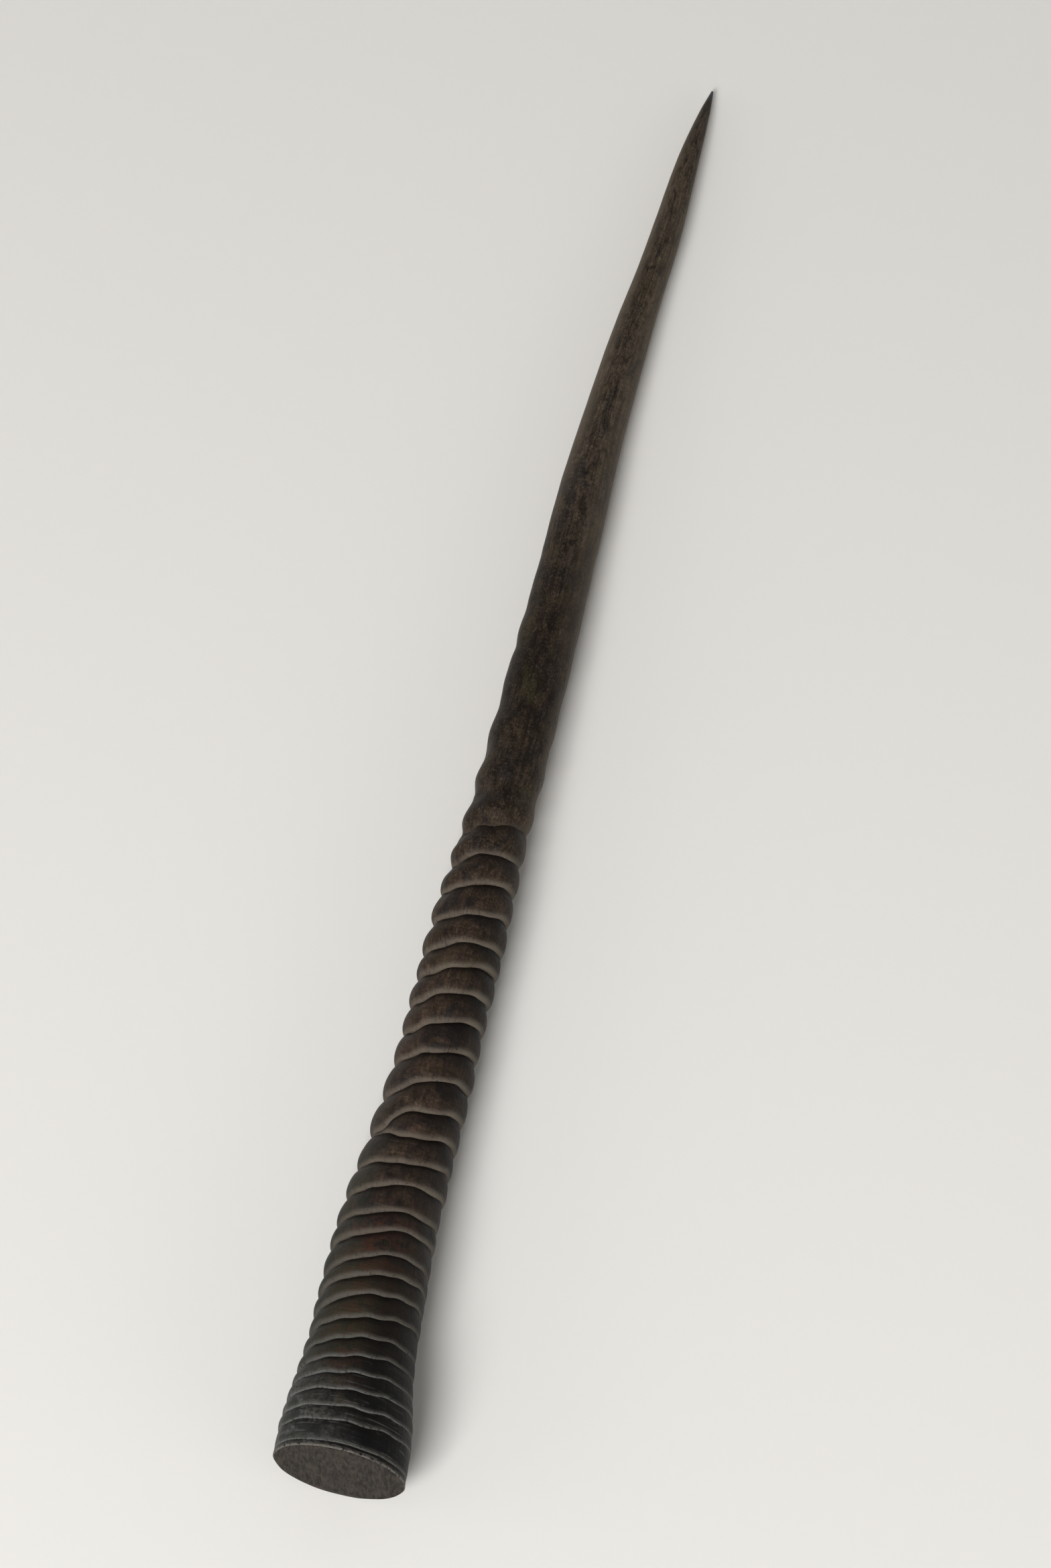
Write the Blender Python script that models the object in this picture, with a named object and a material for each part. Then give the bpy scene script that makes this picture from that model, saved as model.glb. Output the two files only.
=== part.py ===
"""A gemsbok horn, cut off flat at the hairline and lying on a surface, front side up.

Metres, +Z up. The horn is one grown piece. It runs along +Y from the sawn base to the tip.
Growth rings cover its lower half, one above another, and the upper half is smooth.
Angles around the horn start at the front side, which faces up, and turn toward +X.
"""

import math
import random

import bmesh
import bpy

# ---- Driving dimensions, in metres where nothing else is said ----

LENGTH = 0.760
SIDES = 24

# Width over the ring crests, at fractions of the length from the base.
WIDTHS = (
    (0.000, 0.0594),
    (0.025, 0.0581),
    (0.070, 0.0498),
    (0.130, 0.0465),
    (0.200, 0.0418),
    (0.270, 0.0376),
    (0.345, 0.0369),
    (0.420, 0.0324),
    (0.460, 0.0312),
    (0.500, 0.0296),
    (0.560, 0.0287),
    (0.610, 0.0268),
    (0.660, 0.0256),
    (0.720, 0.0224),
    (0.780, 0.0198),
    (0.840, 0.0164),
    (0.880, 0.0148),
    (0.940, 0.0106),
    (0.980, 0.0054),
    (1.000, 0.0012),
)
# Height against width: the base flares sideways more than front to back.
HEIGHT_RATIOS = (
    (0.00, 0.94),
    (0.07, 0.98),
    (0.14, 1.02),
    (0.45, 1.02),
    (1.00, 1.00),
)
POINT_LENGTH = 0.0006

# How far the middle line wanders to +X seen from above, at fractions of the length.
WANDER = (
    (0.00, 0.0054),
    (0.03, 0.0034),
    (0.07, 0.0007),
    (0.15, -0.0029),
    (0.20, -0.0028),
    (0.25, -0.0022),
    (0.30, -0.0031),
    (0.39, -0.0042),
    (0.46, -0.0042),
    (0.55, -0.0049),
    (0.63, -0.0061),
    (0.70, -0.0072),
    (0.80, -0.0057),
    (0.87, -0.0029),
    (0.94, -0.0020),
    (1.00, 0.0000),
)

# How far the underside rises off the surface that the horn lies on, at fractions of the
# length. It touches near the base and at its two bends, and the tip is clear.
LIFTS = (
    (0.000, 0.0000),
    (0.120, 0.0010),
    (0.215, 0.0000),
    (0.450, 0.0025),
    (0.680, 0.0000),
    (1.000, 0.0030),
)

# Growth lines: the grooves between the rings. The pitches are those at fractions of the length.
FIRST_LINE = 0.0130
PITCHES = (
    (0.00, 0.0062),
    (0.06, 0.0092),
    (0.14, 0.0118),
    (0.22, 0.0144),
    (0.38, 0.0146),
    (0.44, 0.0215),
    (0.52, 0.0275),
    (0.66, 0.0280),
)
RINGS_END = 0.310
SWELLINGS_END = 0.470
PITCH_SCATTER = 0.16
RING_SEED = 56858

# Depth of the grooves on the front side, at fractions of the length.
GROOVE_DEPTHS = (
    (0.00, 0.0004),
    (0.04, 0.0011),
    (0.08, 0.0016),
    (0.12, 0.0020),
    (0.17, 0.0024),
    (0.22, 0.0027),
    (0.33, 0.0030),
    (0.40, 0.0030),
    (0.44, 0.0020),
    (0.50, 0.0008),
    (0.60, 0.0003),
    (0.70, 0.0000),
    (1.00, 0.0000),
)
# The grooves are deepest on the -X side, which faced the other horn, and shallow opposite,
# most of all near the base. The inner strengths are those at fractions of the length.
MEAN_STRENGTH = 0.90
FRONT_STRENGTH = 0.10
INNER_STRENGTHS = (
    (0.00, 0.60),
    (0.12, 0.58),
    (0.19, 0.32),
    (0.30, 0.26),
    (1.00, 0.26),
)
CREST_SCATTER = 0.0005

# Within a ring: the crest sits below the middle, and the side toward the base is steep.
CREST_PHASE = 0.40
STEEP_ROUNDNESS = 0.65
RING_PHASES = (0.0, 0.09, 0.40, 0.66, 0.85)
SWELLING_PHASES = (0.0, 0.40, 0.72)

# The rings start square to the horn and turn oblique, nearer the tip on the +X side.
RING_SLANT = math.radians(12)
SLANT_START = -0.020
SLANT_FULL = 0.075
LINE_WAVE = 0.0007

# How far the front of a line leads its sides toward the tip, at fractions of the length.
FRONT_LEADS = (
    (0.00, -0.0007),
    (0.03, -0.0005),
    (0.07, 0.0018),
    (0.13, 0.0018),
    (0.19, -0.0005),
    (1.00, -0.0007),
)

# One ring runs out on the -X side, where the rings above and below it nearly meet. The
# lines farther off are drawn toward it too, each by WEDGE_REACH of the one before.
WEDGE_RING = 14
WEDGE_ANGLE = math.radians(-70)
WEDGE_SPREAD = math.radians(48)
WEDGE_CLOSING = 0.93
WEDGE_REACH = 0.5

# Smooth stations above the last swelling: their number, and how they crowd to the tip.
SMOOTH_STATIONS = 26
TIP_CROWDING = 1.35

# Edges that turn more than this, such as the rim of the sawn face, are shaded sharp.
SHARP_ANGLE = math.radians(60)

HORN_COLOUR = (0.030, 0.022, 0.018, 1.0)
HORN_ROUGHNESS = 0.55


def curve_through(points, place):
    """The height at one place of a smooth curve through (place, height) points."""
    last = len(points) - 2
    index = next((i for i in range(last) if place < points[i + 1][0]), last)

    def slope(at):
        """Slope of the curve at one of its points, from the two beside it."""
        before = points[max(at - 1, 0)]
        after = points[min(at + 1, len(points) - 1)]
        return (after[1] - before[1]) / (after[0] - before[0])

    (start, low), (end, high) = points[index], points[index + 1]
    width = end - start
    s = (place - start) / width
    rise = s * s * (3 - 2 * s)
    leave = s * (1 - s) * (1 - s)
    arrive = s * s * (s - 1)
    return low + (high - low) * rise + width * (slope(index) * leave + slope(index + 1) * arrive)


def smooth_step(low, high, value):
    """Zero up to low, one from high on, and an even rise between them."""
    s = min(max((value - low) / (high - low), 0.0), 1.0)
    return s * s * (3 - 2 * s)


def growth_lines():
    """Distances from the base of the lines between rings, and then between swellings."""
    scatter = random.Random(RING_SEED)
    lines = [FIRST_LINE]
    while lines[-1] < SWELLINGS_END:
        pitch = curve_through(PITCHES, lines[-1] / LENGTH)
        lines.append(lines[-1] + pitch * (1 + scatter.uniform(-PITCH_SCATTER, PITCH_SCATTER)))
    return lines


LINES = growth_lines()


def half_width(along):
    """Half the width over the ring crests, at a distance from the base."""
    return curve_through(WIDTHS, along / LENGTH) / 2


def half_height(along):
    """Half the height over the ring crests, at a distance from the base."""
    return half_width(along) * curve_through(HEIGHT_RATIOS, along / LENGTH)


def wedge_closing(angle):
    """How far the wedge ring has closed at one angle, from 0 for open to 1 for shut."""
    turn = math.remainder(angle - WEDGE_ANGLE, math.tau)
    return WEDGE_CLOSING * math.exp(-((turn / WEDGE_SPREAD) ** 4))


def line_place(index, angle):
    """Distance from the base of one growth line, at one angle around the horn."""
    along = LINES[index]
    waves = random.Random(RING_SEED + index)
    slant = math.tan(RING_SLANT) * smooth_step(SLANT_START, SLANT_FULL, along)
    lead = curve_through(FRONT_LEADS, along / LENGTH)
    place = along + slant * half_width(along) * math.sin(angle) + lead * math.cos(angle)
    for turns in (2, 3):
        place += LINE_WAVE / turns * math.sin(turns * angle + waves.uniform(0, math.tau))
    closing = (LINES[WEDGE_RING + 1] - LINES[WEDGE_RING]) / 2 * wedge_closing(angle)
    if index <= WEDGE_RING:
        return place + closing * WEDGE_REACH ** (WEDGE_RING - index)
    return place - closing * WEDGE_REACH ** (index - WEDGE_RING - 1)


def ring_bulge(phase):
    """Fullness of a ring, 0 in the grooves and 1 on the crest, from base to tip side."""
    if phase < CREST_PHASE:
        return (1 - (1 - phase / CREST_PHASE) ** 2) ** STEEP_ROUNDNESS
    return 1 - ((phase - CREST_PHASE) / (1 - CREST_PHASE)) ** 2


def groove_depth(along, angle):
    """Depth of the grooves at a distance from the base and an angle."""
    inner = curve_through(INNER_STRENGTHS, along / LENGTH)
    strength = MEAN_STRENGTH + FRONT_STRENGTH * math.cos(angle) - inner * math.sin(angle)
    return curve_through(GROOVE_DEPTHS, along / LENGTH) * strength


def middle_line(along):
    """The middle of the horn at a distance from the base."""
    sideways = curve_through(WANDER, along / LENGTH)
    lift = curve_through(LIFTS, along / LENGTH)
    return sideways, along, half_height(along) + lift


def surface_point(along, angle, depth):
    """The point of the horn at a distance from the base, an angle and a depth.

    The flats lie on the round outline, and its corners a little outside.
    """
    corner = 1 / math.cos(math.pi / SIDES)
    sideways = (half_width(along) - depth) * corner * math.sin(angle)
    upward = (half_height(along) - depth) * corner * math.cos(angle)
    x, y, z = middle_line(along)
    return x + sideways, y, z + upward


def ring_section(index, phase, angles):
    """The outline of the horn at one phase of one ring."""
    crest_drop = random.Random(RING_SEED - index).uniform(0, CREST_SCATTER)
    section = []
    for angle in angles:
        low = line_place(index, angle)
        high = line_place(index + 1, angle)
        along = low + (high - low) * phase
        openness = min((high - low) / (LINES[index + 1] - LINES[index]), 1.0)
        depth = groove_depth(along, angle) * (1 - ring_bulge(phase) * openness)
        upper_side = (1 + math.cos(angle)) / 2
        section.append(surface_point(along, angle, depth + crest_drop * upper_side))
    return section


def smooth_section(step, angles):
    """The outline at one step of the smooth part, from the last line to the tip.

    The first steps keep the slant of the last line, and the last one is square.
    """
    share = 1 - (1 - step / SMOOTH_STATIONS) ** TIP_CROWDING
    section = []
    for angle in angles:
        start = line_place(len(LINES) - 1, angle)
        along = start + (LENGTH - start) * share
        section.append(surface_point(along, angle, groove_depth(along, angle)))
    return section


def horn_sections():
    """All outlines of the horn, from the sawn base to the tip."""
    angles = [math.tau * (side + 0.5) / SIDES for side in range(SIDES)]
    base_depth = curve_through(GROOVE_DEPTHS, 0)
    sections = [[surface_point(0.0, angle, base_depth) for angle in angles]]
    for index in range(len(LINES) - 1):
        phases = RING_PHASES if LINES[index] < RINGS_END else SWELLING_PHASES
        sections.extend(ring_section(index, phase, angles) for phase in phases)
    sections.extend(smooth_section(step, angles) for step in range(SMOOTH_STATIONS + 1))
    return sections


def loft(sections, point):
    """A closed mesh through the outlines, flat at the first and ending in a point."""
    shape = bmesh.new()
    rings = [[shape.verts.new(place) for place in section] for section in sections]
    shape.faces.new(rings[0])
    for ring, following in zip(rings, rings[1:]):
        for side in range(SIDES):
            beside = (side + 1) % SIDES
            shape.faces.new((ring[side], following[side], following[beside], ring[beside]))
    tip = shape.verts.new(point)
    for side in range(SIDES):
        shape.faces.new((rings[-1][side], tip, rings[-1][(side + 1) % SIDES]))
    bmesh.ops.recalc_face_normals(shape, faces=shape.faces)
    return shape


def centre_on_floor(shape):
    """Move the mesh so that the middle of its box's underside is at the origin."""
    for axis in (0, 1):
        places = [vertex.co[axis] for vertex in shape.verts]
        middle = (min(places) + max(places)) / 2
        for vertex in shape.verts:
            vertex.co[axis] -= middle
    floor = min(vertex.co.z for vertex in shape.verts)
    for vertex in shape.verts:
        vertex.co.z -= floor


def horn_material():
    """Dark grey-brown keratin, weathered to a dull shine."""
    material = bpy.data.materials.new("horn_keratin")
    material.use_nodes = True
    surface = material.node_tree.nodes["Principled BSDF"]
    surface.inputs["Base Color"].default_value = HORN_COLOUR
    surface.inputs["Roughness"].default_value = HORN_ROUGHNESS
    surface.inputs["Metallic"].default_value = 0.0
    return material


def make_horn(collection):
    """The horn: a loft through its ring outlines, lying on the floor."""
    x, y, z = middle_line(LENGTH)
    shape = loft(horn_sections(), (x, y + POINT_LENGTH, z))
    centre_on_floor(shape)
    mesh = bpy.data.meshes.new("horn")
    shape.to_mesh(mesh)
    shape.free()
    mesh.shade_smooth()
    mesh.set_sharp_from_angle(angle=SHARP_ANGLE)
    mesh.materials.append(horn_material())
    horn = bpy.data.objects.new("horn", mesh)
    collection.objects.link(horn)


for leftover in list(bpy.data.objects):
    bpy.data.objects.remove(leftover, do_unlink=True)
horn_collection = bpy.data.collections.new("gemsbok_horn")
bpy.context.scene.collection.children.link(horn_collection)
make_horn(horn_collection)
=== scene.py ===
"""The looks of a gemsbok horn that lies on a pale floor, front side up.

Metres, +Z up. The horn runs along +Y from its sawn base to its tip. Angles around it start
at the front side, which faces up, and turn toward +X.
"""

import logging
import math
import random
from dataclasses import dataclass
from enum import Enum

import bpy
import numpy as np
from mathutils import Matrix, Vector, noise


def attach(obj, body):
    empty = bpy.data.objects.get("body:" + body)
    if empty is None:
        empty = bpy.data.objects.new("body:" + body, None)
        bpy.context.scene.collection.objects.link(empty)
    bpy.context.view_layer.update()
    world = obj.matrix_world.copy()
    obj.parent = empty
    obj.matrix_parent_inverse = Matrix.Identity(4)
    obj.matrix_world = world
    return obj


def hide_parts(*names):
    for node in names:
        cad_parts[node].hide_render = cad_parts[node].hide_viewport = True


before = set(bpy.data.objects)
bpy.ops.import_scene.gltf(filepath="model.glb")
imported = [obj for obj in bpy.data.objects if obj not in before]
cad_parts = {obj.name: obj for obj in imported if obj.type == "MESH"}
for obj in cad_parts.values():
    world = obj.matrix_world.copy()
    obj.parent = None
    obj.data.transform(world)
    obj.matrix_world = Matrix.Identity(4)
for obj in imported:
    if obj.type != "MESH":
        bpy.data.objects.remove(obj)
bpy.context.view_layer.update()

log = logging.getLogger("gemsbok_horn")
Tree = bpy.types.NodeTree
Socket = bpy.types.NodeSocket
MILLIMETRE = 0.001
HORN_LENGTH = 0.760


def linear(colour: str) -> tuple[float, float, float, float]:
    """Turn an sRGB hex colour into the linear values that a shader takes.

    Args:
        colour: The colour, such as "#2e2823".

    Returns:
        Red, green and blue from 0 to 1, and an alpha of 1.
    """
    parts = [int(colour[i : i + 2], 16) / 255 for i in (1, 3, 5)]
    red, green, blue = (
        part / 12.92 if part <= 0.04045 else ((part + 0.055) / 1.055) ** 2.4 for part in parts
    )
    return red, green, blue, 1.0


def add_node(
    tree: Tree,
    kind: str,
    settings: dict[str, object],
    inputs: dict[str | int, Socket | float | tuple],
    output: str | int = 0,
    stops: tuple[tuple[float, str], ...] = (),
) -> Socket:
    """Add a node with its settings and links.

    Args:
        tree: The node tree that it goes in.
        kind: The node's type, without the word ShaderNode that starts it.
        settings: The node's own fields, by name.
        inputs: For an input, by name or number, the socket that feeds it or its fixed value.
        output: Which of the node's outputs is wanted, by name or number.
        stops: The places and sRGB colours of a colour ramp.

    Returns:
        The wanted output.
    """
    node = tree.nodes.new("ShaderNode" + kind)
    for name, value in settings.items():
        setattr(node, name, value)
    for name, value in inputs.items():
        if isinstance(value, Socket):
            tree.links.new(value, node.inputs[name])
        else:
            node.inputs[name].default_value = value
    for number, (place, colour) in enumerate(stops):
        elements = node.color_ramp.elements
        element = elements[number] if number < 2 else elements.new(place)
        element.position = place
        element.color = linear(colour)
    return node.outputs[output]


def start_material(name: str, values: dict[str, float | tuple]) -> bpy.types.Material:
    """Start a material with what is the same all over its surface.

    Args:
        name: The material's name.
        values: The fixed values of the shader's inputs, by name.

    Returns:
        The material, ready for what varies.
    """
    material = bpy.data.materials.new(name)
    material.use_nodes = True
    for field, value in values.items():
        material.node_tree.nodes["Principled BSDF"].inputs[field].default_value = value
    return material


def smooth_step(low: float, high: float, value: np.ndarray | float) -> np.ndarray | float:
    """Ease from 0 at low to 1 at high.

    Args:
        low: Where the rise starts.
        high: Where it ends.
        value: Where it is read.

    Returns:
        A number from 0 to 1 for each value.
    """
    share = np.clip((value - low) / (high - low), 0.0, 1.0)
    return share * share * (3 - 2 * share)


@dataclass(frozen=True)
class SmoothCurve:
    """A smooth curve through a few (place, height) points."""

    points: tuple[tuple[float, float], ...]

    def at(self, place: np.ndarray | float) -> np.ndarray:
        """Read the curve.

        Args:
            place: One place or an array of them.

        Returns:
            The curve's height at each place.
        """
        places, heights = np.array(self.points).T
        last = len(places) - 1
        before = np.maximum(np.arange(last + 1) - 1, 0)
        after = np.minimum(np.arange(last + 1) + 1, last)
        slopes = (heights[after] - heights[before]) / (places[after] - places[before])
        index = np.clip(np.searchsorted(places, place, side="right") - 1, 0, last - 1)
        width = places[index + 1] - places[index]
        share = (place - places[index]) / width
        rise = share * share * (3 - 2 * share)
        leave = slopes[index] * share * (1 - share) ** 2
        arrive = slopes[index + 1] * share * share * (share - 1)
        return heights[index] + (heights[index + 1] - heights[index]) * rise + width * (leave + arrive)


@dataclass(frozen=True)
class GrowthLines:
    """Where the growth lines lie, which are the grooves between the rings."""

    first_line: float = 0.0130
    pitches: SmoothCurve = SmoothCurve((
        (0.00, 0.0062), (0.06, 0.0092), (0.14, 0.0118), (0.22, 0.0144), (0.38, 0.0146),
        (0.44, 0.0215), (0.52, 0.0275), (0.66, 0.0280),
    ))
    swellings_end: float = 0.470
    pitch_scatter: float = 0.16
    seed: int = 56858
    horn_length: float = HORN_LENGTH
    slant: float = math.radians(12)
    slant_reach: tuple[float, float] = (-0.020, 0.075)
    wave: float = 0.0007
    front_leads: SmoothCurve = SmoothCurve((
        (0.00, -0.0007), (0.03, -0.0005), (0.07, 0.0018), (0.13, 0.0018), (0.19, -0.0005), (1.00, -0.0007),
    ))
    wedge_ring: int = 14
    wedge_angle: float = math.radians(-70)
    wedge_spread: float = math.radians(48)
    wedge_closing: float = 0.93
    wedge_reach: float = 0.5

    def places(self) -> list[float]:
        """Space the growth lines out.

        Returns:
            How far each line is from the base, on the horn's middle line.
        """
        scatter = random.Random(self.seed)
        lines = [self.first_line]
        while lines[-1] < self.swellings_end:
            scattered = 1 + scatter.uniform(-self.pitch_scatter, self.pitch_scatter)
            lines.append(lines[-1] + float(self.pitches.at(lines[-1] / self.horn_length)) * scattered)
        return lines

    def line(self, index: int, angles: np.ndarray, half_width: float) -> np.ndarray:
        """Follow one growth line around the horn.

        Args:
            index: Which line, from the base.
            angles: The angles around the horn.
            half_width: Half the horn's width there.

        Returns:
            The line's distance from the base at each angle.
        """
        lines = self.places()
        along = lines[index]
        waves = random.Random(self.seed + index)
        slant = math.tan(self.slant) * smooth_step(*self.slant_reach, along)
        lead = float(self.front_leads.at(along / self.horn_length))
        place = along + slant * half_width * np.sin(angles) + lead * np.cos(angles)
        for turns in (2, 3):
            place += self.wave / turns * np.sin(turns * angles + waves.uniform(0, math.tau))
        turn = np.remainder(angles - self.wedge_angle + math.pi, math.tau) - math.pi
        closing = self.wedge_closing * np.exp(-((turn / self.wedge_spread) ** 4))
        closing *= (lines[self.wedge_ring + 1] - lines[self.wedge_ring]) / 2
        if index <= self.wedge_ring:
            return place + closing * self.wedge_reach ** (self.wedge_ring - index)
        return place - closing * self.wedge_reach ** (index - self.wedge_ring - 1)


@dataclass(frozen=True)
class HornForm:
    """The horn's outline, its bends, and the depth of its grooves."""

    length: float = HORN_LENGTH
    point_length: float = 0.0006
    widths: SmoothCurve = SmoothCurve((
        (0.000, 0.0594), (0.025, 0.0581), (0.070, 0.0498), (0.130, 0.0465), (0.200, 0.0418),
        (0.270, 0.0376), (0.345, 0.0369), (0.420, 0.0324), (0.460, 0.0312), (0.500, 0.0296),
        (0.560, 0.0287), (0.610, 0.0268), (0.660, 0.0256), (0.720, 0.0224), (0.780, 0.0198),
        (0.840, 0.0164), (0.880, 0.0148), (0.940, 0.0106), (0.980, 0.0054), (1.000, 0.0012),
    ))
    height_ratios: SmoothCurve = SmoothCurve((
        (0.00, 0.94), (0.07, 0.98), (0.14, 1.02), (0.45, 1.02), (1.00, 1.00),
    ))
    wander: SmoothCurve = SmoothCurve((
        (0.00, 0.0054), (0.03, 0.0034), (0.07, 0.0007), (0.15, -0.0029), (0.20, -0.0028),
        (0.25, -0.0022), (0.30, -0.0031), (0.39, -0.0042), (0.46, -0.0042), (0.55, -0.0049),
        (0.63, -0.0061), (0.70, -0.0072), (0.80, -0.0057), (0.87, -0.0029), (0.94, -0.0020),
        (1.00, 0.0000),
    ))
    lifts: SmoothCurve = SmoothCurve((
        (0.000, 0.0000), (0.120, 0.0010), (0.215, 0.0000), (0.450, 0.0025), (0.680, 0.0000),
        (1.000, 0.0030),
    ))
    groove_depths: SmoothCurve = SmoothCurve((
        (0.00, 0.0004), (0.04, 0.0011), (0.08, 0.0016), (0.12, 0.0020), (0.17, 0.0024),
        (0.22, 0.0027), (0.33, 0.0030), (0.40, 0.0030), (0.44, 0.0020), (0.50, 0.0008),
        (0.60, 0.0003), (0.70, 0.0000), (1.00, 0.0000),
    ))
    inner_strengths: SmoothCurve = SmoothCurve((
        (0.00, 0.60), (0.12, 0.58), (0.19, 0.32), (0.30, 0.26), (1.00, 0.26),
    ))
    mean_strength: float = 0.90
    front_strength: float = 0.10
    crest_scatter: float = 0.0005
    crest_phase: float = 0.40
    crest_blend: float = 0.84
    steep_roundness: float = 0.65
    soft_start: float = 0.275
    soft_end: float = 0.330

    def half_width(self, along: np.ndarray | float) -> np.ndarray:
        """Give half the width over the ring crests at a distance from the base."""
        return self.widths.at(along / self.length) / 2

    def groove(self, along: np.ndarray, angles: np.ndarray) -> np.ndarray:
        """Give the depth of a groove.

        Args:
            along: Distances from the base.
            angles: The angles around the horn.

        Returns:
            The depth at each of them, deepest on the side of -X.
        """
        strength = self.mean_strength + self.front_strength * np.cos(angles)
        strength -= self.inner_strengths.at(along / self.length) * np.sin(angles)
        return self.groove_depths.at(along / self.length) * strength

    def bulge(self, phase: float, start: float) -> float:
        """Give the fullness of a ring, 0 in its grooves and 1 on its crest.

        Args:
            phase: The place in the ring, from 0 on the base side to 1 on the tip side.
            start: How far from the base the ring starts: the last ones are soft swellings.

        Returns:
            The fullness, which rises steeply on the base side of a ring.
        """
        if phase < self.crest_phase:
            full = (1 - (1 - phase / self.crest_phase) ** 2) ** self.steep_roundness
            turn = phase / self.crest_phase
        else:
            full = 1 - ((phase - self.crest_phase) / (1 - self.crest_phase)) ** 2
            turn = (1 - phase) / (1 - self.crest_phase)
        soft = (1 - math.cos(math.pi * turn)) / 2
        softness = float(smooth_step(self.soft_start, self.soft_end, start))
        return full + (soft - full) * softness

    def skin(self, along: np.ndarray, angles: np.ndarray, depth: np.ndarray | float) -> np.ndarray:
        """Place points on the horn's round outline, or under it.

        Args:
            along: Distances from the base.
            angles: The angles around the horn.
            depth: How deep each point is under the crests' outline.

        Returns:
            One row of X, Y and Z for each point, with the sawn base's lowest point at zero.
        """
        half_width = self.half_width(along)
        half_height = half_width * self.height_ratios.at(along / self.length)
        sideways = self.wander.at(along / self.length) + (half_width - depth) * np.sin(angles)
        middle = half_height + self.lifts.at(along / self.length)
        upward = middle + (half_height - depth) * np.cos(angles)
        return np.stack([sideways, along + 0 * angles, upward], axis=-1)


@dataclass(frozen=True)
class HornRow:
    """One row of points around the horn, with what its finish needs to know of each point."""

    points: np.ndarray
    growth: np.ndarray
    pitch: np.ndarray


@dataclass(frozen=True)
class BakeLayout:
    """Where the parts of the skin lie in the unit square of the baked picture."""

    map_name: str = "OFBake"
    split: float = 0.400
    lower: tuple[float, float, float, float] = (0.01, 0.01, 0.61, 0.99)
    upper: tuple[float, float, float, float] = (0.63, 0.30, 0.99, 0.99)
    face_centre: tuple[float, float] = (0.81, 0.14)
    face_radius: float = 0.125

    def on_skin(self, is_lower: bool, around: float, along: float) -> tuple[float, float]:
        """Find where a point of the skin lies in the picture.

        Args:
            is_lower: Whether it is in the lower part of the skin.
            around: Its share of the way around the horn.
            along: Its share of the way up its part.

        Returns:
            The place in the picture.
        """
        left, bottom, right, top = self.lower if is_lower else self.upper
        return left + (right - left) * around, bottom + (top - bottom) * along

    def on_face(self, inward: float, turn: float) -> tuple[float, float]:
        """Find where a point of the sawn face lies in the picture.

        Args:
            inward: Its share of the way from the edge to the middle.
            turn: Its angle around the middle.

        Returns:
            The place in the picture.
        """
        reach = self.face_radius * (1 - inward)
        return self.face_centre[0] + reach * math.sin(turn), self.face_centre[1] + reach * math.cos(turn)


class Skin(Enum):
    """What is known of each point of the skin: where it lies, and the patterns there."""

    OUTWARD = "metres toward +X, on a rod as thick as the horn's middle"
    ALONG = "metres from the sawn base"
    FRONT = "metres toward the front side, on the same rod"
    ABOVE = "metres above the growth line below"
    BELOW = "metres below the growth line above"
    PITCH = "metres between those two lines"
    FIBRE = "fine fibres along the horn"
    STRAND = "bundles of fibres along the horn"
    HAIRLINE = "fine growth marks around the horn"
    MOTTLE = "patches of a few millimetres"
    BLOTCH = "patches of about a centimetre"
    GRAIN = "specks"


@dataclass(frozen=True)
class SkinPattern:
    """A natural pattern on the skin: the size of its marks and how they show."""

    around: float
    along: float
    detail: float
    distortion: float
    rise: float
    dark: float
    light: float
    fineness: float = 0.6

    def draw(self, tree: Tree, sheath: Socket) -> Socket:
        """Draw the pattern.

        Args:
            tree: The material's node tree.
            sheath: Where on the straightened horn a point is.

        Returns:
            A number from 0 to 1 at each place, mostly near one half.
        """
        size = (1 / self.around, 1 / self.along, 1 / self.around)
        scaled = add_node(tree, "Mapping", {}, {"Vector": sheath, "Scale": size})
        marks = {"Detail": self.detail, "Roughness": self.fineness, "Distortion": self.distortion}
        return add_node(tree, "TexNoise", {}, {"Vector": scaled, "Scale": 1.0, **marks})


def raise_patterns(tree: Tree, patterns: list[tuple[Socket, SkinPattern]]) -> Socket:
    """Raise patterns on a surface.

    Args:
        tree: The material's node tree.
        patterns: What each pattern draws, and its settings.

    Returns:
        The bumped normal.
    """
    height = 0.0
    for drawn, pattern in patterns:
        rise = {0: drawn, 1: pattern.rise, 2: height}
        height = add_node(tree, "Math", {"operation": "MULTIPLY_ADD"}, rise)
    return add_node(tree, "Bump", {}, {"Height": height, "Distance": MILLIMETRE, "Strength": 1.0})


@dataclass(frozen=True)
class Limit:
    """A stretch of one map over which a patch fades in."""

    source: Skin
    clear: float
    full: float


@dataclass(frozen=True)
class Patch:
    """A colour on part of the skin, where all of its limits overlap."""

    colour: str
    strength: float
    limits: tuple[Limit, ...]

    def cover(self, tree: Tree, maps: dict[Skin, Socket]) -> Socket:
        """Find where the patch lies.

        Args:
            tree: The material's node tree.
            maps: The sockets of all maps.

        Returns:
            Its cover, from 0 to its strength.
        """
        cover = self.strength
        for limit in self.limits:
            reach = {"Value": maps[limit.source], "From Min": limit.clear, "From Max": limit.full}
            share = add_node(tree, "MapRange", {"interpolation_type": "SMOOTHSTEP"}, reach)
            cover = add_node(tree, "Math", {"operation": "MULTIPLY"}, {0: cover, 1: share})
        return cover


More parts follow.
